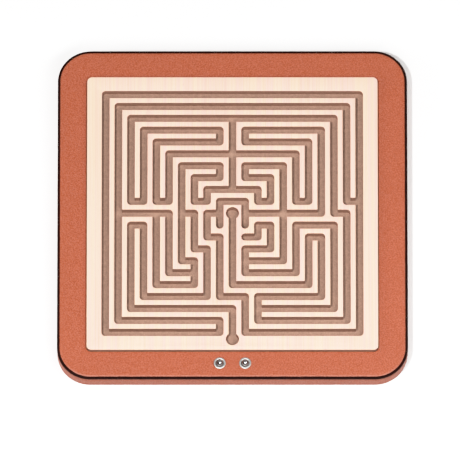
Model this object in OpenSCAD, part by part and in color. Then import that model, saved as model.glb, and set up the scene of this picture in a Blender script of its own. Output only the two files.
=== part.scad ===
// Tilt maze game: a leather-covered tray round a veneered board with a routed track.
// Two steel balls wait in metal cups in the front rim.
// Origin: centre of the underside. +Z is up, +Y points to the back, the cups are at -Y.

/* [Tray] */
// Width of the square tray, from edge to edge
tray_w = 300.6; // [290:0.1:320]
// Radius of the tray's outer corners
corner_r = 28.5; // [22:0.5:32]
// Height of the leather rim above the table
rim_h = 17; // [16.5:0.1:18]
// Width of the leather rim beside the board
rim_w = 25.5; // [22:0.1:28]
// Overall height, to the top of the board
overall_h = 20; // [19.5:0.1:21.5]

/* [Leather and lining] */
// Thickness of the top leather
top_leather_t = 2; // [1.8:0.1:2.2]
// Thickness of the side leather
side_leather_t = 1.5; // [1.2:0.1:1.8]
// Step from the painted edge back to the side leather
side_step = 0.2; // [0.1:0.1:0.4]
// Width of the painted edge, seen from above
paint_w = 1.9; // [1.4:0.1:2.4]
// Rounding of the painted edge
paint_r = 1; // [0.8:0.1:1.3]
// Gap between the board and the top leather's inner edge
leather_gap = 0.6; // [0.5:0.1:1.2]
// Width of leather turned in under the base
hem_w = 13; // [10:0.5:16]
// Thickness of the turned-in leather
hem_t = 1; // [0.8:0.1:1.2]
// Thickness of the lining that the tray stands on
lining_t = 1.4; // [1.3:0.1:1.8]

/* [Wooden body] */
// Thickness of the base panel
base_t = 3.6; // [3:0.1:4]
// Length of a mitre biscuit along the joint
biscuit_len = 16; // [12:1:16]
// Reach of a mitre biscuit into each rail
biscuit_reach = 5; // [4:0.5:5]
// Thickness of a mitre biscuit
biscuit_t = 2.4; // [2:0.1:3]

/* [Board and track] */
// Corner radius of the board
board_r = 4; // [3:0.5:6]
// Thickness of the veneer on both faces of the board
veneer_t = 0.6; // [0.5:0.1:0.8]
// Width of the routed groove
groove_w = 6.6; // [6.4:0.1:7.2]
// Depth of the groove below the face
groove_d = 7.8; // [6:0.1:8]
// Plain border between the board's edge and the outermost groove
track_margin = 12.55; // [12:0.05:14]
// Radius of the round goal in the middle
goal_r = 5.65; // [5.3:0.05:5.9]
// Radius of the round start at the front
start_r = 5.65; // [5.3:0.05:5.9]
// Distance of the start beyond the outermost groove's centre line
start_out = 6.1; // [5.8:0.1:6.6]

/* [Balls and cups] */
// Diameter of a ball
ball_d = 6; // [5.5:0.1:6.2]
// Height of a ball's centre above the leather
ball_rise = 0.8; // [0.4:0.1:1.2]
// Distance from the board's edge to the centre of a cup
cup_out = 11.2; // [10:0.1:12.5]
// Outer radius of a cup's rim
cup_rim_r = 5.2; // [5:0.1:5.4]
// Width of a cup's rounded rim
cup_rim_w = 1.9; // [1.6:0.1:2]
// Wall of a cup below its rim
cup_wall = 0.8; // [0.5:0.1:0.9]
// Thickness of a cup's floor
cup_floor_t = 0.6; // [0.4:0.1:0.8]
// Radius of a magnet
magnet_r = 3; // [2.5:0.1:3.2]
// Height of a magnet
magnet_h = 2; // [1.5:0.1:2.5]

/* [Screws] */
// Radius of a screw's shank
screw_r = 1.5; // [1.25:0.05:1.75]
// Radius of a screw's countersunk head
screw_head_r = 2.9; // [2.6:0.1:3.2]
// Height of a screw's countersunk head
screw_head_h = 1.7; // [1.4:0.1:2]
// Length of a screw, head included
screw_len = 9; // [8:0.5:9.5]
// Distance of the rail screws from the middle of a rail
rail_screw_at = 75; // [50:5:95]
// Distance of the board screws from the middle of the board
board_screw_at = 80; // [40:5:100]

/* [Hidden] */
$fn = 64;

// Overshoot of a cut past the face it leaves
over = 1;

// Half widths of the nested outlines, and the corner radius of each
half = tray_w / 2;
body_in = side_step + side_leather_t;
body_half = half - body_in;
body_r = corner_r - body_in;
lining_half = half - hem_w;
lining_r = corner_r - hem_w;
board_half = half - rim_w;
board_w = 2 * board_half;

// Heights, from the table up
hem_z = lining_t - hem_t;
base_top_z = lining_t + base_t;
rail_top_z = rim_h - top_leather_t;
board_core_z = base_top_z + veneer_t;
board_core_top_z = overall_h - veneer_t;
groove_z = overall_h - groove_d;

// The track lies on a square grid of 21 by 21 places, counted from the goal in the middle
grid_reach = 10;
groove_r = groove_w / 2;
pitch = (board_half - track_margin - groove_r) / grid_reach;
start_y = -(grid_reach * pitch + start_out);

// Balls and cups
ball_r = ball_d / 2;
ball_gap = 0.02;
ball_z = rim_h + ball_rise;
cup_x = pitch;
cup_y = -(board_half + cup_out);
cup_floor_z = ball_z - ball_r - ball_gap;
cup_base_z = cup_floor_z - cup_floor_t;
cup_bore_r = cup_rim_r - cup_rim_w;
cup_barrel_r = cup_bore_r + cup_wall;
magnet_z = cup_base_z - magnet_h;

// Places along the centre line of each groove, in grid steps from the goal
start_step = start_y / pitch;
TRACKS = [
    // from the start along the left to the first fork
    [[0, start_step], [0, -8], [-8, -8], [-8, -1], [-7, -1], [-7, -7], [-2, -7], [-2, -3],
     [-3, -3], [-3, 0], [-4, 0]],
    // the ring round the middle
    [[1, -4], [4, -4], [4, 4], [1, 4], [1, 3], [3, 3], [3, 1], [2, 1], [2, 2], [-2, 2], [-2, 1],
     [-3, 1], [-3, 3], [-1, 3], [-1, 4], [-4, 4], [-4, -4], [-3, -4]],
    // the straight lane at the back
    [[0, 8], [0, 2]],
    // the long way round to the goal
    [[1, 0], [7, 0], [7, 7], [1, 7], [1, 6], [6, 6], [6, 1], [5, 1], [5, 5], [-5, 5], [-5, 1],
     [-6, 1], [-6, 6], [-1, 6], [-1, 7], [-7, 7], [-7, 1], [-8, 1], [-8, 8], [8, 8], [8, 0],
     [9, 0], [9, -9], [2, -9], [2, -7], [7, -7], [7, -2], [6, -2], [6, -6], [0, -6], [0, 0]],
    // the two outer rounds
    [[10, 1], [9, 1], [9, 9], [-9, 9], [-9, -9], [-1, -9], [-1, -10], [-10, -10], [-10, 10],
     [10, 10], [10, -10], [1, -10], [1, -7], [-1, -7], [-1, -2], [-2, -2], [-2, 0], [-1, 0]],
    // the two lanes on the left
    [[-9, 0], [-5, 0], [-5, -5], [-3, -5]],
    [[-6, 0], [-6, -6], [-3, -6], [-3, -4]],
    // the blind lane at the front right
    [[2, -8], [8, -8], [8, -1], [5, -1], [5, -5], [1, -5], [1, -3], [3, -3], [3, -1], [2, -1],
     [2, -2], [1, -2]],
    // the blind loop round the goal
    [[-1, -1], [-1, 1], [1, 1], [1, -1]]
];

// ---- outlines and shared shapes ----

// A square outline with rounded corners, centred on the origin
module rounded_square(half_w, r) {
    square([2 * half_w, 2 * (half_w - r)], center = true);
    square([2 * (half_w - r), 2 * half_w], center = true);
    for (x = [-1, 1], y = [-1, 1])
        translate([x * (half_w - r), y * (half_w - r)]) circle(r = r);
}

// A flat sheet with rounded corners between two heights
module sheet(half_w, r, z0, z1) {
    translate([0, 0, z0]) linear_extrude(z1 - z0) rounded_square(half_w, r);
}

// Carries a cross-section once round the tray. Its x is 0 at the tray's edge and grows outwards.
module round_the_edge() {
    straight = 2 * (half - corner_r);
    for (turn = [0:90:270]) rotate([0, 0, turn]) {
        translate([half, straight / 2, 0]) rotate([90, 0, 0]) linear_extrude(straight) children();
        translate([straight / 2, straight / 2, 0])
            rotate_extrude(angle = 90) translate([corner_r, 0]) children();
    }
}

// A quarter disc that fills the corner between +x and the up or down direction
module quarter_disc(r, up = true) {
    intersection() {
        circle(r = r);
        translate([0, up ? 0 : -r]) square(r);
    }
}

// One straight lane of the track, as wide as the groove
module lane(from, to) {
    low = [min(from.x, to.x), min(from.y, to.y)];
    size = [abs(to.x - from.x), abs(to.y - from.y)];
    side = [size.x > 0 ? 0 : groove_r, size.y > 0 ? 0 : groove_r];
    translate(low - side) square(size + 2 * side);
}

// The whole track, seen from above. The cutter leaves its own radius at each turn and dead end.
module track_outline() {
    for (way = TRACKS) {
        for (i = [1:len(way) - 1]) lane(way[i - 1] * pitch, way[i] * pitch);
        for (place = way) translate(place * pitch) circle(r = groove_r);
    }
    circle(r = goal_r);
    translate([0, start_y]) circle(r = start_r);
}

// Places of the screws that hold the base panel, two in each rail and four in the board
RAIL_LINE = (body_half + board_half) / 2;
SCREWS = concat(
    [for (s = [-1, 1], t = [-1, 1]) [s * rail_screw_at, t * RAIL_LINE]],
    [for (s = [-1, 1], t = [-1, 1]) [s * RAIL_LINE, t * rail_screw_at]],
    [for (s = [-1, 1], t = [-1, 1]) [s * board_screw_at, t * board_screw_at]]
);

// A countersunk wood screw, head down, with its head flush with the base panel
module screw() {
    rotate_extrude() polygon([
        [0, 0], [screw_head_r, 0], [screw_r, screw_head_h], [screw_r, screw_len - screw_r],
        [0, screw_len]
    ]);
}

module screws() {
    for (place = SCREWS) translate([place.x, place.y, lining_t]) screw();
}

// A lens-shaped biscuit that lies across a mitre
module biscuit() {
    lens_r = (pow(biscuit_len / 2, 2) + pow(biscuit_reach, 2)) / (2 * biscuit_reach);
    linear_extrude(biscuit_t) intersection() {
        translate([0, lens_r - biscuit_reach]) circle(r = lens_r);
        translate([0, biscuit_reach - lens_r]) circle(r = lens_r);
    }
}

module biscuits() {
    mitre_mid = (board_half + (body_half - body_r) + body_r / sqrt(2)) / 2;
    biscuit_z = (base_top_z + rail_top_z - biscuit_t) / 2;
    for (turn = [0:90:270]) rotate([0, 0, turn])
        translate([mitre_mid, mitre_mid, biscuit_z]) rotate([0, 0, 45]) biscuit();
}

// ---- base ----

module base_lining() {
    color("tan") sheet(lining_half, lining_r, 0, lining_t);
}

module base_panel() {
    color("burlywood") difference() {
        sheet(body_half, body_r, lining_t, base_top_z);
        screws();
    }
}

// ---- mitred rails ----

// The rail that faces the front before it is turned
module rail(turn) {
    color("peru") difference() {
        intersection() {
            sheet(body_half, body_r, base_top_z, rail_top_z);
            rotate([0, 0, turn]) translate([0, 0, base_top_z])
                linear_extrude(rail_top_z - base_top_z) polygon([
                    [-board_half, -board_half], [-half, -half], [half, -half],
                    [board_half, -board_half]
                ]);
        }
        biscuits();
        screws();
        cup_seats();
    }
}

module front_rail() rail(0);
module right_rail() rail(90);
module back_rail() rail(180);
module left_rail() rail(270);

module mitre_biscuits() {
    color("wheat") biscuits();
}

module base_screws() {
    color("silver") difference() {
        screws();
        for (place = SCREWS) translate([place.x, place.y, lining_t]) driver_recess();
    }
}

// The cross-shaped recess for a screwdriver
module driver_recess() {
    recess_w = 0.6;
    recess_l = 2.8;
    recess_h = 1.1;
    for (turn = [0, 90]) rotate([0, 0, turn])
        translate([-recess_l / 2, -recess_w / 2, -over]) cube([recess_l, recess_w, recess_h + over]);
}

// ---- board ----

module backing_veneer() {
    color("moccasin") difference() {
        sheet(board_half, board_r, base_top_z, board_core_z);
        screws();
    }
}

module maze_board() {
    color("rosybrown") difference() {
        sheet(board_half, board_r, board_core_z, board_core_top_z);
        translate([0, 0, groove_z]) linear_extrude(groove_d) track_outline();
        screws();
    }
}

module face_veneer() {
    color("bisque") translate([0, 0, board_core_top_z]) linear_extrude(veneer_t) difference() {
        rounded_square(board_half, board_r);
        track_outline();
    }
}

// ---- leather ----

// The band round the sides, turned in under the base panel
module side_leather() {
    wall_x = -body_in;
    color("sienna") round_the_edge() {
        translate([wall_x, lining_t]) square([side_leather_t, rail_top_z - lining_t]);
        translate([-hem_w, hem_z]) square([hem_w - side_step - hem_t, hem_t]);
        translate([-side_step - hem_t, lining_t]) quarter_disc(hem_t, up = false);
    }
}

// The flat sheet on the rim, open round the board and for the two cups
module top_leather() {
    color("chocolate") difference() {
        sheet(half - paint_w, corner_r - paint_w, rail_top_z, rim_h);
        sheet(board_half + leather_gap, board_r + leather_gap, rail_top_z - over, rim_h + over);
        cup_seats();
    }
}

// The rounded bead of black paint along the top leather's cut edge
module edge_paint() {
    color("black") translate([0, 0, rail_top_z]) round_the_edge() {
        translate([-paint_w, 0]) square([paint_w - paint_r, top_leather_t]);
        translate([-paint_r, 0]) square([paint_r, top_leather_t - paint_r]);
        translate([-paint_r, top_leather_t - paint_r]) quarter_disc(paint_r);
    }
}

// ---- cups and magnets ----

// The stepped holes under both cups, through the leather and into the front rail
module cup_seats() {
    for (side = [-1, 1]) translate([side * cup_x, cup_y, 0]) {
        translate([0, 0, cup_base_z]) cylinder(r = cup_barrel_r, h = rim_h - cup_base_z + over);
        translate([0, 0, magnet_z]) cylinder(r = magnet_r, h = magnet_h + over);
    }
}

// A pressed cup with a half-round rim that lies on the leather
module ball_cup(side) {
    bead_r = cup_rim_w / 2;
    color("gainsboro") translate([side * cup_x, cup_y, 0]) rotate_extrude() {
        translate([0, cup_base_z]) square([cup_barrel_r, cup_floor_t]);
        translate([cup_bore_r, cup_base_z]) square([cup_wall, rim_h - cup_base_z]);
        translate([cup_rim_r - bead_r, rim_h]) intersection() {
            circle(r = bead_r);
            translate([-bead_r, 0]) square([cup_rim_w, bead_r]);
        }
    }
}

module left_ball_cup() ball_cup(-1);
module right_ball_cup() ball_cup(1);

module cup_magnet(side) {
    color("dimgray") translate([side * cup_x, cup_y, magnet_z]) cylinder(r = magnet_r, h = magnet_h);
}

module left_cup_magnet() cup_magnet(-1);
module right_cup_magnet() cup_magnet(1);

// ---- balls ----

module ball(side) {
    color("silver") translate([side * cup_x, cup_y, ball_z]) sphere(r = ball_r);
}

module left_ball() ball(-1);
module right_ball() ball(1);

base_lining();
base_panel();
front_rail();
back_rail();
left_rail();
right_rail();
mitre_biscuits();
base_screws();
backing_veneer();
maze_board();
face_veneer();
side_leather();
top_leather();
edge_paint();
left_ball_cup();
right_ball_cup();
left_cup_magnet();
right_cup_magnet();
left_ball();
right_ball();
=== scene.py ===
import math

import bmesh
import bpy
import numpy as np
from mathutils import Matrix, Vector, geometry


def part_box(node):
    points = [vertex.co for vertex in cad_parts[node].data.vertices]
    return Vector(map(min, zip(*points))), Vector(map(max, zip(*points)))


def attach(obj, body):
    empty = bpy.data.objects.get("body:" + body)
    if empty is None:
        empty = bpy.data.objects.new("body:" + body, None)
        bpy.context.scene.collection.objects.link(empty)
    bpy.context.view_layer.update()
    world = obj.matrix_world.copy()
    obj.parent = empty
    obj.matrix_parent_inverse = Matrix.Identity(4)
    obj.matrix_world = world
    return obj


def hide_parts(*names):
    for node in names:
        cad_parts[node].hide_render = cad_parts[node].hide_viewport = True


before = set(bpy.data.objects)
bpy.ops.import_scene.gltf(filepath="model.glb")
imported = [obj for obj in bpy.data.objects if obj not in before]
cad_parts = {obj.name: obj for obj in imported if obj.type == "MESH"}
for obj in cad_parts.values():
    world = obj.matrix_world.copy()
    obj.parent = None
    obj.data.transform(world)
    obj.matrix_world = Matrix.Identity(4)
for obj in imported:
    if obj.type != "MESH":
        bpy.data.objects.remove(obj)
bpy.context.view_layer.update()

# The looks of a tilt maze game: a leather-covered tray round a veneered board with a routed
# track, and two steel balls in nickel cups. Shapes are worked out in metres, from the CAD frame.

MM = 0.001

# ---- sizes that the frame's boxes don't hold, in metres ----

TRAY_CORNER = 28.5 * MM
BOARD_CORNER = 4.0 * MM
LEATHER_GAP = 0.6 * MM
HEM_WIDTH = 13.0 * MM
HEM_THICKNESS = 1.0 * MM
SIDE_THICKNESS = 1.5 * MM
LINING_CORNER = TRAY_CORNER - HEM_WIDTH
CUP_WALL = 0.8 * MM
CUP_FLOOR = 0.6 * MM
CUP_BORE = 3.3 * MM

# ---- sizes read from the frame ----

PAINT_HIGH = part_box("edge_paint")[1]
LEATHER_LOW, LEATHER_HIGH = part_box("top_leather")
SIDE_LOW, SIDE_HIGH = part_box("side_leather")
LINING_LOW, LINING_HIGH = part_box("base_lining")
BOARD_LOW, BOARD_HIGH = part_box("face_veneer")

TRAY_HALF = PAINT_HIGH.x
RIM_TOP = LEATHER_HIGH.z
RIM_SEAT = LEATHER_LOW.z
PAINT_WIDTH = TRAY_HALF - LEATHER_HIGH.x
SIDE_STEP = TRAY_HALF - SIDE_HIGH.x
BOARD_HALF = BOARD_HIGH.x
OPENING_HALF = BOARD_HALF + LEATHER_GAP
OPENING_CORNER = BOARD_CORNER + LEATHER_GAP

# ---- soft random fields, the same on every run ----

TABLE_SIZE = 512


def smooth(t):
    """A soft step from 0 to 1."""
    t = np.clip(t, 0.0, 1.0)
    return t * t * (3.0 - 2.0 * t)


def soft_noise(points, size, seed):
    """Smooth noise from -1 to 1 at 2-D points, with features about as wide as size."""
    table = np.random.default_rng(seed).uniform(-1.0, 1.0, (TABLE_SIZE, TABLE_SIZE))
    scaled = points / size
    cell = np.floor(scaled).astype(int)
    part = smooth(scaled - cell)
    x0, y0 = cell[:, 0] % TABLE_SIZE, cell[:, 1] % TABLE_SIZE
    x1, y1 = (x0 + 1) % TABLE_SIZE, (y0 + 1) % TABLE_SIZE
    low = table[x0, y0] * (1 - part[:, 0]) + table[x1, y0] * part[:, 0]
    high = table[x0, y1] * (1 - part[:, 0]) + table[x1, y1] * part[:, 0]
    return low * (1 - part[:, 1]) + high * part[:, 1]


GRAIN_CREASE = 0.35
GRAIN_EVENNESS = 0.25
FAR_AWAY = 9.0


def pebbles(points, size, seed):
    """Leather grain at 2-D points: 0 in the creases between the pebbles and 1 on top of them."""
    jitter = np.random.default_rng(seed).random((TABLE_SIZE, TABLE_SIZE, 2))
    jitter = GRAIN_EVENNESS / 2 + (1 - GRAIN_EVENNESS) * jitter
    scaled = points / size
    cell = np.floor(scaled).astype(int)
    nearest = np.full(len(points), FAR_AWAY)
    second = nearest.copy()
    for dx in (-1, 0, 1):
        for dy in (-1, 0, 1):
            place = cell + (dx, dy)
            feature = place + jitter[place[:, 0] % TABLE_SIZE, place[:, 1] % TABLE_SIZE]
            far = np.hypot(*(scaled - feature).T)
            second = np.minimum(second, np.maximum(nearest, far))
            nearest = np.minimum(nearest, far)
    return smooth((second - nearest) / GRAIN_CREASE)


GRAIN_SIZE = 1.55 * MM
GRAIN_STRETCH = 0.72
GRAIN_TURN = math.radians(24.0)
GRAIN_WARP = 1.3 * MM
GRAIN_WANDER = 9.0 * MM


def leather_grain(points, seed):
    """Grain whose pebbles are drawn out along a slant, in rows that wander a little."""
    along = points[:, 0] * math.cos(GRAIN_TURN) + points[:, 1] * math.sin(GRAIN_TURN)
    across = points[:, 1] * math.cos(GRAIN_TURN) - points[:, 0] * math.sin(GRAIN_TURN)
    warp = soft_noise(points, GRAIN_WANDER, seed + 1) * GRAIN_WARP
    pulled = np.column_stack([(along + warp) * GRAIN_STRETCH, across + warp])
    return pebbles(pulled, GRAIN_SIZE, seed + 2)


# ---- meshes ----


def new_piece(name, vertices, faces, body="board", smooth_angle=35.0):
    """A mesh object that rides on a body, smooth apart from edges sharper than the angle."""
    mesh = bpy.data.meshes.new(name)
    mesh.from_pydata(np.asarray(vertices).tolist(), [], faces)
    mesh.validate()
    mesh.update()
    mesh.shade_smooth()
    mesh.set_sharp_from_angle(angle=math.radians(smooth_angle))
    piece = bpy.data.objects.new(name, mesh)
    bpy.context.scene.collection.objects.link(piece)
    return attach(piece, body)


def finish_piece(piece, material, slot, *nodes):
    """Gives a piece its material, and puts it in place of its CAD nodes."""
    piece.data.materials.append(material)
    if nodes:
        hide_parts(*nodes)
    return piece


def add_values(piece, name, values):
    """Stores one number a vertex, for the material to read."""
    attribute = piece.data.attributes.new(name, "FLOAT", "POINT")
    attribute.data.foreach_set("value", np.asarray(values, np.float32))


QUARTER_TURN = np.array([[0, -1], [1, 0]])


class Outline:
    """Stations round a rounded square. A nested outline has the same stations at another size."""

    def __init__(self, straight_steps, corner_steps):
        places, normals = [], []
        for quarter in range(4):
            turn = np.linalg.matrix_power(QUARTER_TURN, quarter)
            steps = np.linspace(-1, 1, straight_steps, endpoint=False)
            straight = np.column_stack([np.ones_like(steps), steps])
            angles = np.linspace(0, math.pi / 2, corner_steps, endpoint=False)
            round_part = np.column_stack([np.cos(angles), np.sin(angles)])
            places.append(np.vstack([straight, np.ones_like(round_part)]) @ turn.T)
            flat = np.column_stack([np.ones_like(steps), np.zeros_like(steps)])
            normals.append(np.vstack([flat, round_part]) @ turn.T)
        self.places = np.vstack(places)
        self.normals = np.vstack(normals)
        self.count = len(self.places)

    def at(self, half, corner):
        """The stations of the outline with this half width and corner radius."""
        return self.places * (half - corner) + self.normals * corner

    def lengths(self, half, corner):
        """How far along the outline each station lies."""
        points = self.at(half, corner)
        steps = np.hypot(*(points - np.roll(points, 1, axis=0)).T)
        steps[0] = 0.0
        return np.cumsum(steps)


def ring_faces(rows, count, closed=True):
    """Quads between rows of stations. A closed section joins its last row to its first."""
    faces = []
    last = rows if closed else rows - 1
    for row in range(last):
        low, high = row * count, (row + 1) % rows * count
        for i in range(count):
            j = (i + 1) % count
            faces.append((low + i, low + j, high + j, high + i))
    return faces


def grid_along(start, end, step):
    """Evenly spaced numbers from start to end, both included, about one step apart."""
    count = max(2, int(round(abs(end - start) / step)) + 1)
    return np.linspace(start, end, count)


# ---- top leather: a flat sheet with a fine grain, open round the board ----

LEATHER_STEP = 0.58 * MM
GRAIN_DEPTH = 0.1 * MM
EDGE_DIP = 0.38 * MM
EDGE_DIP_WIDTH = 1.5 * MM
INNER_ROUND = 0.5 * MM
CUT_SINK = 0.03 * MM
GRAIN_FADE_START = 0.3 * MM
GRAIN_FADE = 0.2 * MM
SWELL_SIZE = 26 * MM
SWELL_HEIGHT = 0.05 * MM


def edge_dip(depth):
    """How far the top leather falls towards the painted edge, at a distance from the tray's edge."""
    return EDGE_DIP * (1.0 - smooth((depth - PAINT_WIDTH) / EDGE_DIP_WIDTH))


def leather_corner(depth):
    """Corner radius of the top leather's outline at a distance from the tray's edge."""
    share = (depth - PAINT_WIDTH) / (TRAY_HALF - OPENING_HALF - PAINT_WIDTH)
    outer = TRAY_CORNER - PAINT_WIDTH
    return outer + (OPENING_CORNER - outer) * share


def cup_centre(side):
    low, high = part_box(side + "_ball_cup")
    return (low + high) / 2


def make_top_leather(material):
    inner_depth = TRAY_HALF - OPENING_HALF
    outline = Outline(straight_steps=424, corner_steps=66)
    flat = grid_along(PAINT_WIDTH, inner_depth - INNER_ROUND, LEATHER_STEP)
    bend = np.linspace(0, math.pi / 2, 4)[1:]
    rows = [(depth, RIM_TOP - edge_dip(depth)) for depth in flat]
    rows += [
        (inner_depth - INNER_ROUND + INNER_ROUND * math.sin(a), RIM_TOP - INNER_ROUND * (1 - math.cos(a)))
        for a in bend
    ]
    rows += [(inner_depth, RIM_SEAT), (PAINT_WIDTH, RIM_SEAT)]
    layers = [outline.at(TRAY_HALF - d, leather_corner(d)) for d, _ in rows]
    heights = np.repeat([z for _, z in rows], outline.count)
    points = np.vstack(layers)
    grain = leather_grain(points, seed=11)
    on_top = smooth((heights - (RIM_TOP - EDGE_DIP - GRAIN_FADE_START)) / GRAIN_FADE)
    swell = soft_noise(points, SWELL_SIZE, seed=5) * 0.5 - 0.5
    heights = heights - on_top * (GRAIN_DEPTH * (1 - grain) - SWELL_HEIGHT * swell)
    vertices = np.column_stack([points, heights])
    faces = ring_faces(len(rows), outline.count)
    vertices, faces = open_for_cups(vertices, faces)
    piece = new_piece("rim_top_leather", vertices, faces)
    add_values(piece, "grain", grain)
    return finish_piece(piece, material, "top_leather", "top_leather")


def open_for_cups(vertices, faces):
    """Takes the sheet away inside each cup's outline, and leaves the cut open, with no wall.

    The top gets a round hole. The underside loses a slot, since its faces span the whole rim. The
    cup's flange covers the one, and the other lies on the rail.
    """
    hole = CUP_BORE + CUP_WALL + CUT_SINK
    corners = np.array(faces)
    for side in ("left", "right"):
        centre = np.array(cup_centre(side)[:2])
        middle = vertices[corners].mean(axis=1)[:, :2]
        kept = np.hypot(*(middle - centre).T) > hole
        corners = corners[kept]
        offset = vertices[:, :2] - centre
        far = np.hypot(*offset.T)
        close = (far < hole + LEATHER_STEP * 0.5) & (vertices[:, 2] > (RIM_TOP + RIM_SEAT) / 2)
        vertices[close, :2] = centre + offset[close] / far[close, None] * hole
    return vertices, [tuple(c) for c in corners]


# ---- side leather: a band round the tray, turned in under the base ----

PLEAT_DEPTH = 0.28 * MM
PLEATS_PER_CORNER = 9
PLEAT_FADE = math.radians(12)
SEAM_HALF = 0.35 * MM
SEAM_DEPTH = 0.3 * MM
TOP_ROUND = 0.25 * MM
TOP_LEAN = 0.42 * MM
LEAN_HEIGHT = 4.2 * MM
SIDE_ROW = 0.62 * MM
HEM_ROW = 0.8 * MM
HEM_EASED = 0.3 * MM


def side_lean(height):
    """How far the side leans in towards its top edge, where the leather is drawn over the rail."""
    return TOP_LEAN * smooth(1.0 - (RIM_SEAT - height) / LEAN_HEIGHT)


def side_section():
    """The band's cross-section as (distance from the tray's edge, height, share of grain) rows."""
    out, hem_low = SIDE_STEP, SIDE_LOW.z
    fold = HEM_THICKNESS
    rows = [(out + SIDE_THICKNESS, RIM_SEAT, 0.0), (out + TOP_LEAN + TOP_ROUND, RIM_SEAT, 0.0)]
    for height in grid_along(RIM_SEAT - TOP_ROUND, hem_low + fold, SIDE_ROW):
        rows.append((out + side_lean(height), height, 1.0))
    for a in np.linspace(0, math.pi / 2, 6)[1:]:
        rows.append((out + fold * (1 - math.cos(a)), hem_low + fold * (1 - math.sin(a)), 1.0))
    rows += [(d, hem_low, 1.0) for d in grid_along(out + fold, HEM_WIDTH - HEM_EASED, HEM_ROW)[1:]]
    rows += [(HEM_WIDTH, hem_low + HEM_EASED, 0.0), (HEM_WIDTH, hem_low + fold, 0.0)]
    rows += [(out + SIDE_THICKNESS, hem_low + fold, 0.0)]
    return rows


def pleats(outline):
    """Folds of the turned-in leather at the four corners, from 0 to 1 round the outline."""
    angle = np.arctan2(outline.normals[:, 1], outline.normals[:, 0]) % (math.pi / 2)
    in_corner = smooth(np.minimum(angle, math.pi / 2 - angle) / PLEAT_FADE)
    waves = 0.5 - 0.5 * np.cos(angle / (math.pi / 2) * 2 * math.pi * PLEATS_PER_CORNER)
    return in_corner * waves ** 3


def make_side_leather(material):
    outline = Outline(straight_steps=272, corner_steps=44)
    rows = side_section()
    length = outline.lengths(TRAY_HALF, TRAY_CORNER)
    folds = pleats(outline)
    seam = 1 - smooth(np.abs(outline.places[:, 0]) * TRAY_HALF / SEAM_HALF)
    seam = seam * (outline.normals[:, 1] > 0.9)
    vertices, grains, travelled = [], [], 0.0
    for i, (depth, height, share) in enumerate(rows):
        if i:
            travelled += math.hypot(depth - rows[i - 1][0], height - rows[i - 1][1])
        unrolled = np.column_stack([length, np.full(outline.count, travelled)])
        grain = leather_grain(unrolled, seed=31)
        sink = share * (GRAIN_DEPTH * (1 - grain) + SEAM_DEPTH * seam)
        turned_in = smooth((depth - SIDE_STEP) / HEM_WIDTH * 2) * share
        flat = 1.0 if depth > SIDE_STEP + HEM_THICKNESS * 0.99 else 0.0
        points = outline.at(TRAY_HALF - depth, TRAY_CORNER - depth)
        points = points - outline.normals * (sink * (1 - flat))[:, None]
        heights = height + flat * (sink + PLEAT_DEPTH * folds * turned_in)
        vertices.append(np.column_stack([points, heights]))
        grains.append(grain)
    faces = ring_faces(len(rows), outline.count)
    piece = new_piece("side_leather_band", np.vstack(vertices), faces)
    add_values(piece, "grain", np.concatenate(grains))
    return finish_piece(piece, material, "side_leather", "side_leather")


# ---- painted edge: a hand-laid bead of black edge paint on the top leather's cut edge ----

PAINT_FILM = 0.05 * MM
PAINT_LAP = 0.4 * MM
PAINT_WOBBLE = 0.08 * MM
PAINT_ROUND = 1.0 * MM
PAINT_FOOT = 0.12 * MM
PAINT_TUCK = 0.3 * MM
PAINT_SINK = 0.03 * MM


def make_painted_edge(material):
    """A bead with a flat crown and a round shoulder, whose inner edge laps onto the leather."""
    outline = Outline(straight_steps=272, corner_steps=44)
    length = outline.lengths(TRAY_HALF, TRAY_CORNER)
    beads = np.column_stack([length, np.zeros_like(length)])
    wobble = 0.65 * soft_noise(beads, 6 * MM, seed=71) + 0.35 * soft_noise(beads, 2.1 * MM, seed=72)
    lap = PAINT_WIDTH + PAINT_LAP + PAINT_WOBBLE * wobble
    bank = lap - 2 * PAINT_FILM
    crown = RIM_TOP - EDGE_DIP + PAINT_FILM
    sections = [(lap, RIM_TOP - edge_dip(lap) - PAINT_FILM)]
    sections += [(bank, RIM_TOP - edge_dip(bank) + 0.6 * PAINT_FILM)]
    for turn in np.linspace(0, math.pi / 2, 9):
        lump = PAINT_FILM * wobble * math.sin(2 * turn)
        height = crown - PAINT_ROUND * (1 - math.cos(turn)) + lump
        sections.append((PAINT_ROUND * (1 - math.sin(turn)), height))
    sections += [(0.0, RIM_SEAT + PAINT_FOOT), (PAINT_FOOT, RIM_SEAT), (PAINT_WIDTH, RIM_SEAT)]
    sections += [(PAINT_WIDTH, RIM_TOP - EDGE_DIP - PAINT_TUCK)]
    vertices = []
    for depth, height in sections:
        sunk = np.maximum(depth, PAINT_SINK * (1 + wobble))
        half = TRAY_HALF - sunk
        corner = TRAY_CORNER - sunk
        points = outline.places * (half - corner)[:, None] + outline.normals * corner[:, None]
        vertices.append(np.column_stack([points, np.broadcast_to(height, sunk.shape)]))
    faces = ring_faces(len(sections), outline.count)
    piece = new_piece("painted_edge_bead", np.vstack(vertices), faces, smooth_angle=60.0)
    return finish_piece(piece, material, "edge_paint", "edge_paint")


# ---- suede lining under the base ----

LINING_ROUND = 0.5 * MM
LINING_RINGS = 46
NAP_HEIGHT = 0.12 * MM
NAP_SIZE = 7 * MM
NAP_FADE = 8


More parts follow.
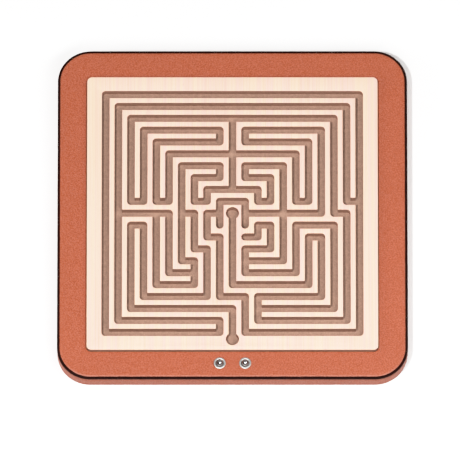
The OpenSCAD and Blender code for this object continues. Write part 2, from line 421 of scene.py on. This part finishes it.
def make_lining(material):
    outline = Outline(straight_steps=90, corner_steps=16)
    low, high = LINING_LOW.z, LINING_HIGH.z
    half = LINING_HIGH.x
    rings = [(0.0, high)]
    for a in np.linspace(0, math.pi / 2, 5):
        rings.append((LINING_ROUND * (1 - math.cos(a)), low + LINING_ROUND * (1 - math.sin(a))))
    share = np.linspace(1, 0, LINING_RINGS, endpoint=False)[1:]
    vertices, faces = [], []
    for depth, height in rings:
        points = outline.at(half - depth, LINING_CORNER - depth)
        vertices.append(np.column_stack([points, np.full(outline.count, height)]))
    flat_half, flat_corner = half - LINING_ROUND, LINING_CORNER - LINING_ROUND
    for s in share:
        points = outline.at(flat_half, flat_corner) * s
        nap = 0.5 + 0.5 * soft_noise(points, NAP_SIZE, seed=91)
        edge = smooth((1 - s) * NAP_FADE)
        vertices.append(np.column_stack([points, low + NAP_HEIGHT * nap * edge]))
    faces = ring_faces(len(vertices), outline.count, closed=False)
    points = np.vstack(vertices + [np.array([[0, 0, low]]), np.array([[0, 0, high]])])
    under, over = len(points) - 2, len(points) - 1
    last = (len(vertices) - 1) * outline.count
    for i in range(outline.count):
        j = (i + 1) % outline.count
        faces.append((last + i, last + j, under))
        faces.append((j, i, over))
    piece = new_piece("suede_lining_sheet", points, faces)
    return finish_piece(piece, material, "suede", "base_lining")


# ---- face veneer: the CAD outline with its edges eased by sanding ----

EASED = 0.16 * MM
WELD_DISTANCE = 1e-6
TOP_TOLERANCE = 1e-5
FACES_UP = 0.9
STRAIGHT = 1e-4


def outline_loops(node):
    """The closed outlines of a flat node's top face, each with the face on its left."""
    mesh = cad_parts[node].data
    work = bmesh.new()
    work.from_mesh(mesh)
    bmesh.ops.remove_doubles(work, verts=work.verts, dist=WELD_DISTANCE)
    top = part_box(node)[1].z - TOP_TOLERANCE
    following = {}
    for face in work.faces:
        if face.normal.z < FACES_UP or face.calc_center_median().z < top:
            continue
        for loop in face.loops:
            others = [f for f in loop.edge.link_faces if f is not face]
            if not others or others[0].normal.z < FACES_UP:
                following[loop.vert.index] = loop.link_loop_next.vert.index
    places = {v.index: np.array(v.co[:2]) for v in work.verts}
    work.free()
    loops = []
    while following:
        start = min(following)
        path = [start]
        here = following.pop(start)
        while here != start:
            path.append(here)
            here = following.pop(here)
        loops.append(np.array([places[i] for i in path]))
    return [without_straight_points(loop) for loop in loops]


def without_straight_points(loop):
    """The loop without the points that lie on a straight line between their neighbours."""
    before, after = loop - np.roll(loop, 1, axis=0), np.roll(loop, -1, axis=0) - loop
    before /= np.hypot(*before.T)[:, None]
    after /= np.hypot(*after.T)[:, None]
    turning = np.abs(before[:, 0] * after[:, 1] - before[:, 1] * after[:, 0])
    return loop[turning > STRAIGHT]


def inset_loop(loop, distance):
    """The loop moved by a distance towards the face on its left, with mitred corners."""
    before, after = loop - np.roll(loop, 1, axis=0), np.roll(loop, -1, axis=0) - loop
    before /= np.hypot(*before.T)[:, None]
    after /= np.hypot(*after.T)[:, None]
    left_before = np.column_stack([-before[:, 1], before[:, 0]])
    left_after = np.column_stack([-after[:, 1], after[:, 0]])
    mitre = left_before + left_after
    mitre /= (1 + (left_before * left_after).sum(axis=1))[:, None]
    return loop + mitre * distance


def make_face_veneer(material):
    loops = outline_loops("face_veneer")
    low, high = BOARD_LOW.z, BOARD_HIGH.z
    arc = np.linspace(0, math.pi / 2, 4)
    levels = [(0.0, low), (0.0, high - EASED)]
    levels += [(EASED * (1 - math.cos(a)), high - EASED * (1 - math.sin(a))) for a in arc[1:]]
    vertices, faces = [], []
    level_start = []
    for inset, height in levels:
        level_start.append(len(vertices))
        for loop in loops:
            vertices += [(x, y, height) for x, y in inset_loop(loop, inset)]
    offset = 0
    for loop in loops:
        for low_level, high_level in zip(level_start, level_start[1:]):
            for i in range(len(loop)):
                j = (i + 1) % len(loop)
                low_i, low_j = low_level + offset + i, low_level + offset + j
                faces.append((low_i, low_j, high_level + offset + j, high_level + offset + i))
        offset += len(loop)
    cap = cap_triangles(loops)
    faces += [tuple(level_start[-1] + i for i in triangle) for triangle in cap]
    faces += [tuple(level_start[0] + i for i in reversed(triangle)) for triangle in cap]
    piece = new_piece("maple_face_veneer", vertices, faces, smooth_angle=50.0)
    return finish_piece(piece, material, "maple_veneer", "face_veneer")


def cap_triangles(loops):
    """Triangles, facing up, that fill the area between nested loops."""
    polygons = [[Vector((x, y, 0)) for x, y in loop] for loop in loops]
    flat = np.vstack(loops)
    triangles = []
    for a, b, c in geometry.tessellate_polygon(polygons):
        ab, ac = flat[b] - flat[a], flat[c] - flat[a]
        up = ab[0] * ac[1] - ab[1] * ac[0] > 0
        triangles.append((a, b, c) if up else (a, c, b))
    return triangles


# ---- cups and balls ----

LATHE_STEPS = 96
ON_AXIS = 1e-9


def lathe(name, profile, centre, body):
    """Turns a closed (radius, height) profile round the vertical through a centre."""
    angles = np.linspace(0, 2 * math.pi, LATHE_STEPS, endpoint=False)
    vertices, rows = [], []
    for radius, height in profile:
        rows.append(len(vertices))
        if radius < ON_AXIS:
            vertices.append((centre.x, centre.y, height))
            continue
        for a in angles:
            vertices.append((centre.x + radius * math.cos(a), centre.y + radius * math.sin(a), height))
    faces = []
    for row, (first, second) in enumerate(zip(rows, rows[1:])):
        for i in range(LATHE_STEPS):
            j = (i + 1) % LATHE_STEPS
            if profile[row][0] < ON_AXIS:
                faces.append((first, second + i, second + j))
            elif profile[row + 1][0] < ON_AXIS:
                faces.append((first + i, first + j, second)[::-1])
            else:
                faces.append((first + j, first + i, second + i, second + j))
    return new_piece(name, vertices, faces, body, smooth_angle=40.0)


FLANGE_HEIGHT = 0.62 * MM
FLANGE_SQUARENESS = 2.6
CUP_FOOT = 0.3 * MM
CUP_LIP = 0.25 * MM
CUP_DISH = 0.5 * MM
CUP_HOLLOW_SHARE = 0.4
CUP_HOLLOW_EDGE = 0.04 * MM
CUP_HOLLOW_MIDDLE = 0.05 * MM
BALL_CUTS = 23


def cup_profile(low, rim_radius):
    """A pressed cup: a flattened round flange on the leather, a turned-in lip and a dished floor."""
    half_width = (rim_radius - CUP_BORE) / 2
    middle = rim_radius - half_width
    barrel = CUP_BORE + CUP_WALL
    profile = [(0.0, low)]
    for a in np.linspace(0, math.pi / 2, 4):
        profile.append((barrel - CUP_FOOT * (1 - math.sin(a)), low + CUP_FOOT * (1 - math.cos(a))))
    profile.append((barrel, RIM_TOP))
    power = 2 / FLANGE_SQUARENESS
    for a in np.linspace(0.0, math.pi, 25):
        across = math.copysign(abs(math.cos(a)) ** power, math.cos(a))
        profile.append((middle + half_width * across, RIM_TOP + FLANGE_HEIGHT * math.sin(a) ** power))
    profile.append((CUP_BORE, RIM_TOP - CUP_LIP))
    floor = low + CUP_FLOOR
    for a in np.linspace(0, math.pi / 2, 6):
        profile.append((CUP_BORE - CUP_DISH * (1 - math.cos(a)), floor + CUP_DISH * (1 - math.sin(a))))
    profile.append((CUP_BORE * CUP_HOLLOW_SHARE, floor - CUP_HOLLOW_EDGE))
    profile.append((0.0, floor - CUP_HOLLOW_MIDDLE))
    return profile


def make_cup(side, material):
    low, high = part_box(side + "_ball_cup")
    profile = cup_profile(low.z, (high.x - low.x) / 2)
    piece = lathe(side + "_nickel_cup", profile, (low + high) / 2, "board")
    return finish_piece(piece, material, "cup_nickel", side + "_ball_cup")


def make_ball(side, material):
    """A ball from a finely divided cube pushed out to the sphere, so that it has no poles."""
    low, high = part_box(side + "_ball")
    centre, radius = (low + high) / 2, (high.z - low.z) / 2
    work = bmesh.new()
    bmesh.ops.create_cube(work, size=2.0)
    bmesh.ops.subdivide_edges(work, edges=work.edges, cuts=BALL_CUTS, use_grid_fill=True)
    for vertex in work.verts:
        spread = Vector([math.tan(v * math.pi / 4) for v in vertex.co])
        vertex.co = spread.normalized() * radius
    mesh = bpy.data.meshes.new(side + "_steel_ball")
    work.to_mesh(mesh)
    work.free()
    mesh.transform(Matrix.Translation(centre))
    mesh.shade_smooth()
    piece = bpy.data.objects.new(side + "_steel_ball", mesh)
    bpy.context.scene.collection.objects.link(piece)
    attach(piece, side + "_ball")
    return finish_piece(piece, material, "ball_steel", side + "_ball")


# ---- materials ----


class Graph:
    """Builds one node material. Places are the object's own, in millimetres."""

    def __init__(self, name, roughness=0.5, metallic=0.0, specular=0.5):
        self.material = bpy.data.materials.new(name)
        self.material.use_nodes = True
        self.tree = self.material.node_tree
        self.surface = self.tree.nodes["Principled BSDF"]
        self.set("Roughness", roughness)
        self.set("Metallic", metallic)
        self.set("Specular IOR Level", specular)
        self.object_place = self.add("ShaderNodeTexCoord").outputs["Object"]

    def add(self, kind, **settings):
        node = self.tree.nodes.new(kind)
        for name, value in settings.items():
            setattr(node, name, value)
        return node

    def feed(self, socket, value):
        """Links an output to an input, or sets the input to a plain value."""
        if isinstance(value, bpy.types.NodeSocket):
            self.tree.links.new(value, socket)
        elif socket.type == "RGBA":
            socket.default_value = tuple(value) + (1.0,) if len(value) == 3 else value
        else:
            socket.default_value = value

    def set(self, name, value):
        self.feed(self.surface.inputs[name], value)

    def place(self, size, turn=0.0):
        """Places divided by a feature size in millimetres, one for each axis, after a turn."""
        turned = self.add("ShaderNodeMapping")
        self.feed(turned.inputs["Vector"], self.object_place)
        turned.inputs["Rotation"].default_value = (0, 0, turn)
        scaled = self.add("ShaderNodeMapping")
        self.feed(scaled.inputs["Vector"], turned.outputs["Vector"])
        scaled.inputs["Scale"].default_value = [1.0 / (s * MM) for s in size]
        return scaled.outputs["Vector"]

    def noise(self, size, turn=0.0, detail=2.0, roughness=0.5, distortion=0.0):
        node = self.add("ShaderNodeTexNoise")
        self.feed(node.inputs["Vector"], self.place(size, turn))
        node.inputs["Scale"].default_value = 1.0
        node.inputs["Detail"].default_value = detail
        node.inputs["Roughness"].default_value = roughness
        node.inputs["Distortion"].default_value = distortion
        return node.outputs["Fac"]

    def cells(self, size, feature="F1"):
        node = self.add("ShaderNodeTexVoronoi", feature=feature)
        self.feed(node.inputs["Vector"], self.place(size))
        node.inputs["Scale"].default_value = 1.0
        return node.outputs["Distance"]

    def value(self, name):
        """A number stored on the mesh's vertices."""
        return self.add("ShaderNodeAttribute", attribute_name=name).outputs["Fac"]

    def spread(self, value, low, high, to_low=0.0, to_high=1.0):
        """Maps low..high to to_low..to_high, without going past either end."""
        node = self.add("ShaderNodeMapRange", clamp=True)
        for name, number in (("From Min", low), ("From Max", high), ("To Min", to_low), ("To Max", to_high)):
            node.inputs[name].default_value = number
        self.feed(node.inputs["Value"], value)
        return node.outputs["Result"]

    def maths(self, operation, a, b=0.0):
        node = self.add("ShaderNodeMath", operation=operation)
        self.feed(node.inputs[0], a)
        self.feed(node.inputs[1], b)
        return node.outputs["Value"]

    def mix(self, share, a, b):
        node = self.add("ShaderNodeMix", data_type="RGBA")
        self.feed(node.inputs["Factor"], share)
        self.feed(node.inputs[6], a)
        self.feed(node.inputs[7], b)
        return node.outputs[2]

    def tint(self, colour, amount):
        """Multiplies a colour by a number."""
        node = self.add("ShaderNodeVectorMath", operation="SCALE")
        self.feed(node.inputs[0], colour)
        self.feed(node.inputs["Scale"], amount)
        return node.outputs["Vector"]

    def add_colour(self, colour, amount):
        """Adds one number to all three channels of a colour."""
        node = self.add("ShaderNodeVectorMath", operation="ADD")
        self.feed(node.inputs[0], colour)
        node.inputs[1].default_value = (amount, amount, amount)
        return node.outputs["Vector"]

    def bump(self, height, depth):
        """Adds relief of a depth in millimetres to whatever relief there is already."""
        node = self.add("ShaderNodeBump")
        node.inputs["Distance"].default_value = depth * MM
        node.inputs["Strength"].default_value = 1.0
        self.feed(node.inputs["Height"], height)
        normal = self.surface.inputs["Normal"]
        if normal.is_linked:
            self.feed(node.inputs["Normal"], normal.links[0].from_socket)
        self.feed(normal, node.outputs["Normal"])


def leather(name, colour, deep, pit_share, shine):
    """Dyed pebbled leather, darker in the creases, with a slanting hatch and fine flecks that vary its tone
    and add painted glints and painted shade.
    """
    g = Graph(name, specular=shine)
    patches = g.noise((38, 38, 38), detail=1)
    flecks = g.noise((0.8, 0.8, 0.8), detail=1)
    hatch = g.noise((1.15, 0.6, 1.15), turn=math.radians(-24), detail=0)
    hide_tone = g.mix(g.spread(patches, 0.3, 0.7), colour, [c * 0.96 for c in colour])
    crease = g.spread(g.value("grain"), 0.0, 0.8, pit_share, 0.0)
    hide_tone = g.mix(crease, hide_tone, deep)
    shade = g.maths("ADD", g.maths("MULTIPLY", hatch, 0.55), g.maths("MULTIPLY", flecks, 0.45))
    # Painted glint and shade: besides the real change of tone, white is added on the light flecks and taken
    # away on the dark ones.
    dark = g.add_colour(g.tint(hide_tone, 0.93), -0.018)
    light = g.add_colour(g.tint(hide_tone, 1.07), 0.018)
    g.set("Base Color", g.mix(g.spread(shade, 0.38, 0.62), dark, light))
    g.set("Roughness", g.spread(flecks, 0.3, 0.7, 0.42, 0.54))
    g.bump(hatch, 0.08)
    g.bump(g.cells((0.75, 0.75, 0.75), "SMOOTH_F1"), 0.04)
    g.bump(g.noise((0.35, 0.35, 0.35), detail=3), 0.03)
    return g.material


def edge_paint():
    """Several thin coats of satin black paint, slightly lumpy along the edge."""
    g = Graph("edge_paint", specular=0.03)
    lumps = g.noise((4.0, 4.0, 1.6), detail=2)
    specks = g.noise((0.5, 0.5, 0.5), detail=2)
    g.set("Base Color", g.mix(g.spread(lumps, 0.35, 0.7), (0.010, 0.0022, 0.0013), (0.016, 0.0032, 0.002)))
    g.set("Roughness", g.spread(specks, 0.3, 0.7, 0.42, 0.58))
    g.bump(lumps, 0.12)
    g.bump(specks, 0.02)
    return g.material


def maple(name, cream, rose, streak):
    """Sanded and lacquered maple veneer with its grain along Y."""
    g = Graph(name, specular=0.3)
    strips = g.noise((2.6, 420, 60), detail=2, roughness=0.45, distortion=0.12)
    broad = g.noise((22, 700, 60), detail=1)
    lines = g.noise((0.9, 120, 9), detail=3, roughness=0.6)
    flecks = g.noise((0.35, 5.5, 3), detail=1)
    colour = g.mix(g.spread(strips, 0.38, 0.62), cream, rose)
    colour = g.tint(colour, g.spread(broad, 0.3, 0.7, 0.985, 1.015))
    colour = g.mix(g.spread(lines, 0.45, 0.8, 0.0, 0.65), colour, streak)
    colour = g.mix(g.spread(flecks, 0.68, 0.8, 0.0, 0.45), colour, [s * 0.85 for s in streak])
    g.set("Base Color", colour)
    g.set("Roughness", g.spread(lines, 0.3, 0.7, 0.42, 0.56))
    g.bump(lines, 0.012)
    g.bump(flecks, 0.01)
    return g.material


def fibreboard():
    """Raw routed fibreboard, pale and speckled, with painted shade on the walls: the colour darkens where
    the surface turns away from facing up.
    """
    g = Graph("routed_fibreboard", roughness=0.85, specular=0.15)
    up = g.add("ShaderNodeSeparateXYZ")
    g.feed(up.inputs["Vector"], g.add("ShaderNodeNewGeometry").outputs["Normal"])
    unshaded_share = g.spread(up.outputs["Z"], 0.3, 0.8)
    fibres = g.noise((0.9, 0.9, 0.9), detail=4, roughness=0.75)
    clumps = g.noise((3.2, 3.2, 3.2), detail=3, roughness=0.6)
    specks = g.cells((1.5, 1.5, 1.5))
    floor = g.mix(g.spread(clumps, 0.3, 0.7), (0.264, 0.162, 0.119), (0.33, 0.205, 0.15))
    # Painted shade: the walls' darker, redder colour stands in for the shade down in the routed grooves.
    shaded_wall = g.mix(g.spread(clumps, 0.3, 0.7), (0.240, 0.128, 0.089), (0.304, 0.165, 0.115))
    colour = g.mix(unshaded_share, shaded_wall, floor)
    colour = g.tint(colour, g.spread(fibres, 0.3, 0.7, 0.84, 1.14))
    colour = g.mix(g.spread(specks, 0.0, 0.22, 0.55, 0.0), colour, (0.15, 0.07, 0.045))
    g.set("Base Color", colour)
    g.bump(fibres, 0.12)
    g.bump(clumps, 0.1)
    return g.material


def plain_wood(name, light, dark, along, ring=7.0):
    """Sawn wood with its grain along X, Y or a slant given as an angle in degrees."""
    turn = {"x": 0.0, "y": math.pi / 2}.get(along, along)
    g = Graph(name, specular=0.25)
    rings = g.noise((160, ring, ring), turn=turn, detail=2, distortion=0.8)
    lines = g.noise((60, 0.8, 0.8), turn=turn, detail=3, roughness=0.65)
    pores = g.noise((4.0, 0.35, 0.35), turn=turn, detail=1)
    colour = g.mix(g.spread(rings, 0.35, 0.65), light, dark)
    colour = g.mix(g.spread(lines, 0.45, 0.8, 0.0, 0.6), colour, [c * 0.75 for c in dark])
    colour = g.mix(g.spread(pores, 0.62, 0.75, 0.0, 0.5), colour, [c * 0.5 for c in dark])
    g.set("Base Color", colour)
    g.set("Roughness", g.spread(lines, 0.3, 0.7, 0.55, 0.75))
    g.bump(lines, 0.05)
    g.bump(pores, 0.05)
    return g.material


def plywood():
    """Birch plywood: grain along X on the faces, and plies that show as bands on the edge."""
    g = Graph("birch_plywood", roughness=0.62, specular=0.25)
    grain = g.noise((120, 3.5, 9), detail=3, distortion=0.5)
    lines = g.noise((40, 0.7, 3), detail=3, roughness=0.65)
    plies = g.spread(g.noise((400, 400, 1.3), detail=0), 0.42, 0.58)
    colour = g.mix(g.spread(grain, 0.35, 0.65), (0.66, 0.49, 0.31), (0.56, 0.39, 0.23))
    colour = g.mix(g.spread(lines, 0.5, 0.8, 0.0, 0.5), colour, (0.40, 0.26, 0.14))
    colour = g.mix(g.maths("MULTIPLY", plies, 0.35), colour, (0.36, 0.22, 0.12))
    g.set("Base Color", colour)
    g.bump(lines, 0.05)
    return g.material


def suede():
    """Napped lining: short fibres that lie in patches and catch the light at a slant."""
    g = Graph("brown_suede", roughness=0.95, specular=0.1)
    g.set("Sheen Weight", 0.5)
    g.set("Sheen Roughness", 0.6)
    patches = g.noise((14, 14, 14), detail=3, distortion=0.6)
    fibres = g.noise((0.35, 0.35, 0.35), detail=3, roughness=0.7)
    colour = g.mix(g.spread(patches, 0.35, 0.65), (0.20, 0.105, 0.065), (0.27, 0.15, 0.095))
    g.set("Base Color", g.tint(colour, g.spread(fibres, 0.3, 0.7, 0.75, 1.2)))
    g.bump(fibres, 0.15)
    return g.material


def metal(name, colour, low_rough, high_rough, scratch_size, scratch_depth):
    """Plated or polished metal with fine marks in its finish."""
    g = Graph(name, metallic=1.0)
    haze = g.noise((2.2, 2.2, 2.2), detail=3, roughness=0.6)
    marks = g.noise(scratch_size, turn=0.6, detail=2, roughness=0.7)
    g.set("Base Color", g.tint(colour, g.spread(haze, 0.3, 0.7, 0.94, 1.03)))
    g.set("Roughness", g.spread(haze, 0.3, 0.7, low_rough, high_rough))
    g.bump(marks, scratch_depth)
    return g.material


# ---- light, floor and camera ----

VIEW_ELEVATION = math.radians(69.5)
VIEW_DISTANCE = 15.35
VIEW_TARGET = Vector((-0.0021, -0.0144, RIM_TOP))
LENS = 1400.0
FLOOR_HALF = 4.0
FLOOR_CELLS = 8
BRIGHTEST = 1.6
ROOM_WHITE = (1.0, 0.995, 0.99, 1.0)
ROOM_BRIGHT_SIDE = (0.0, 0.8, 1.0)
ROOM_DARK_UNTIL = 0.15
ROOM_DARKEST = 0.08
ROOM_BRIGHTEST = 1.15
SHOULDER = ((0.3, 0.3), (0.6, 0.6), (0.8, 0.765), (1.1, 0.905), (1.4, 0.97))


def make_floor():
    g = Graph("white_table", roughness=0.7, specular=0.1)
    grain = g.noise((180, 180, 180), detail=2)
    g.set("Base Color", g.mix(g.spread(grain, 0.3, 0.7), (0.86, 0.86, 0.855), (0.88, 0.88, 0.875)))
    per_row = FLOOR_CELLS + 1
    steps = np.linspace(-FLOOR_HALF, FLOOR_HALF, per_row)
    vertices = [(x, y, 0.0) for y in steps for x in steps]
    faces = []
    for row in range(FLOOR_CELLS):
        for i in range(FLOOR_CELLS):
            first = row * per_row + i
            faces.append((first, first + 1, first + per_row + 1, first + per_row))
    mesh = bpy.data.meshes.new("floor")
    mesh.from_pydata(vertices, [], faces)
    mesh.materials.append(g.material)
    floor = bpy.data.objects.new("floor", mesh)
    bpy.context.scene.collection.objects.link(floor)


def make_lamp(name, place, size, power, mirrored=True):
    """A soft lamp, size wide and deep, that faces the middle of the tray. Metal may mirror it."""
    lamp = bpy.data.lights.new(name, "AREA")
    lamp.shape = "RECTANGLE"
    lamp.size, lamp.size_y = size
    lamp.energy = power
    holder = bpy.data.objects.new(name, lamp)
    holder.location = place
    holder.rotation_euler = (-Vector(place)).to_track_quat("-Z", "Y").to_euler()
    holder.visible_camera = False
    holder.visible_glossy = mirrored
    bpy.context.scene.collection.objects.link(holder)


def make_world(strength):
    """An even white room. The side behind the camera is dark, which only reflections show."""
    world = bpy.data.worlds.new("studio")
    world.use_nodes = True
    bpy.context.scene.world = world
    tree = world.node_tree
    background = tree.nodes["Background"]
    background.inputs["Color"].default_value = ROOM_WHITE
    towards = tree.nodes.new("ShaderNodeVectorMath")
    towards.operation = "DOT_PRODUCT"
    towards.inputs[1].default_value = ROOM_BRIGHT_SIDE
    tree.links.new(tree.nodes.new("ShaderNodeTexCoord").outputs["Generated"], towards.inputs[0])
    shade = tree.nodes.new("ShaderNodeMapRange")
    shade.inputs["From Min"].default_value = ROOM_DARK_UNTIL
    shade.inputs["From Max"].default_value = 1.0
    shade.inputs["To Min"].default_value = strength * ROOM_DARKEST
    shade.inputs["To Max"].default_value = strength * ROOM_BRIGHTEST
    tree.links.new(towards.outputs["Value"], shade.inputs["Value"])
    choice = tree.nodes.new("ShaderNodeMix")
    choice.inputs[2].default_value = strength
    tree.links.new(tree.nodes.new("ShaderNodeLightPath").outputs["Is Glossy Ray"], choice.inputs[0])
    tree.links.new(shade.outputs["Result"], choice.inputs[3])
    tree.links.new(choice.outputs[0], background.inputs["Strength"])


def set_tones():
    """A soft shoulder, so that bright wood keeps its colour and the white table goes to white."""
    view = bpy.context.scene.view_settings
    view.view_transform = "Standard"
    view.use_curve_mapping = True
    tones = view.curve_mapping
    tones.white_level = [BRIGHTEST] * 3
    for bright, shown in SHOULDER:
        tones.curves[3].points.new(bright / BRIGHTEST, shown)
    tones.update()


def make_camera():
    camera = bpy.data.objects.new("camera", bpy.data.cameras.new("camera"))
    camera.data.lens = LENS
    camera.data.sensor_width = 36.0
    back = Vector((0.0, -math.cos(VIEW_ELEVATION), math.sin(VIEW_ELEVATION)))
    camera.location = VIEW_TARGET + back * VIEW_DISTANCE
    camera.rotation_euler = (-back).to_track_quat("-Z", "Y").to_euler()
    camera.data.clip_start = 0.1
    camera.data.clip_end = 100.0
    bpy.context.scene.collection.objects.link(camera)
    bpy.context.scene.camera = camera


# ---- the whole object ----


def cover_node(node, material):
    """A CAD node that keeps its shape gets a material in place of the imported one."""
    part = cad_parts[node]
    part.data.materials.clear()
    part.data.materials.append(material)


def build():
    top_hide = leather("tan_leather", (0.298, 0.067, 0.026), (0.18, 0.034, 0.013), 0.5, shine=0.5)
    # The side band is a darker copy of the tan leather: painted shade on the tray's upright sides.
    side_hide_painted_shade = leather("side_tan_leather_painted_shade", (0.262, 0.062, 0.027), (0.165, 0.036, 0.015), 0.6, shine=0.2)
    make_top_leather(top_hide)
    make_side_leather(side_hide_painted_shade)
    make_painted_edge(edge_paint())
    make_lining(suede())
    face = maple("maple", (0.665, 0.440, 0.328), (0.655, 0.396, 0.340), (0.54, 0.31, 0.225))
    make_face_veneer(face)
    nickel = metal("nickel_plate", (0.50, 0.495, 0.475), 0.4, 0.48, (3.0, 0.3, 0.3), 0.004)
    steel = metal("polished_steel", (0.42, 0.41, 0.41), 0.06, 0.11, (1.2, 0.15, 0.15), 0.002)
    for side in ("left", "right"):
        make_cup(side, nickel)
        make_ball(side, steel)
    cover_node("backing_veneer", face)
    cover_node("maze_board", fibreboard())
    cover_node("base_panel", plywood())
    beech_x = plain_wood("beech_along_x", (0.62, 0.40, 0.24), (0.50, 0.30, 0.17), "x")
    beech_y = plain_wood("beech_along_y", (0.62, 0.40, 0.24), (0.50, 0.30, 0.17), "y")
    for node in ("front_rail", "back_rail"):
        cover_node(node, beech_x)
    for node in ("left_rail", "right_rail"):
        cover_node(node, beech_y)
    pressed = plain_wood("pressed_beech", (0.66, 0.46, 0.29), (0.55, 0.36, 0.21), 0.6, ring=4.0)
    cover_node("mitre_biscuits", pressed)
    zinc = metal("zinc_plate", (0.66, 0.66, 0.64), 0.25, 0.42, (0.4, 0.4, 1.5), 0.01)
    cover_node("base_screws", zinc)
    bright = metal("magnet_nickel", (0.62, 0.61, 0.58), 0.2, 0.3, (2.0, 0.3, 0.3), 0.004)
    for side in ("left", "right"):
        cover_node(side + "_cup_magnet", bright)


def light_scene():
    make_floor()
    make_lamp("key", (-0.875, -1.25, 3.50), (0.2, 0.2), 133.0)
    make_lamp("strip", (0.32, -0.44, 0.80), (1.3, 0.26), 9.6)
    make_lamp("left_fill", (-1.30, -0.10, 0.55), (0.5, 0.5), 9.0, mirrored=False)
    make_lamp("right_fill", (1.30, -0.10, 0.55), (0.5, 0.5), 2.5, mirrored=False)
    make_world(0.35)
    make_camera()
    set_tones()


build()
light_scene()
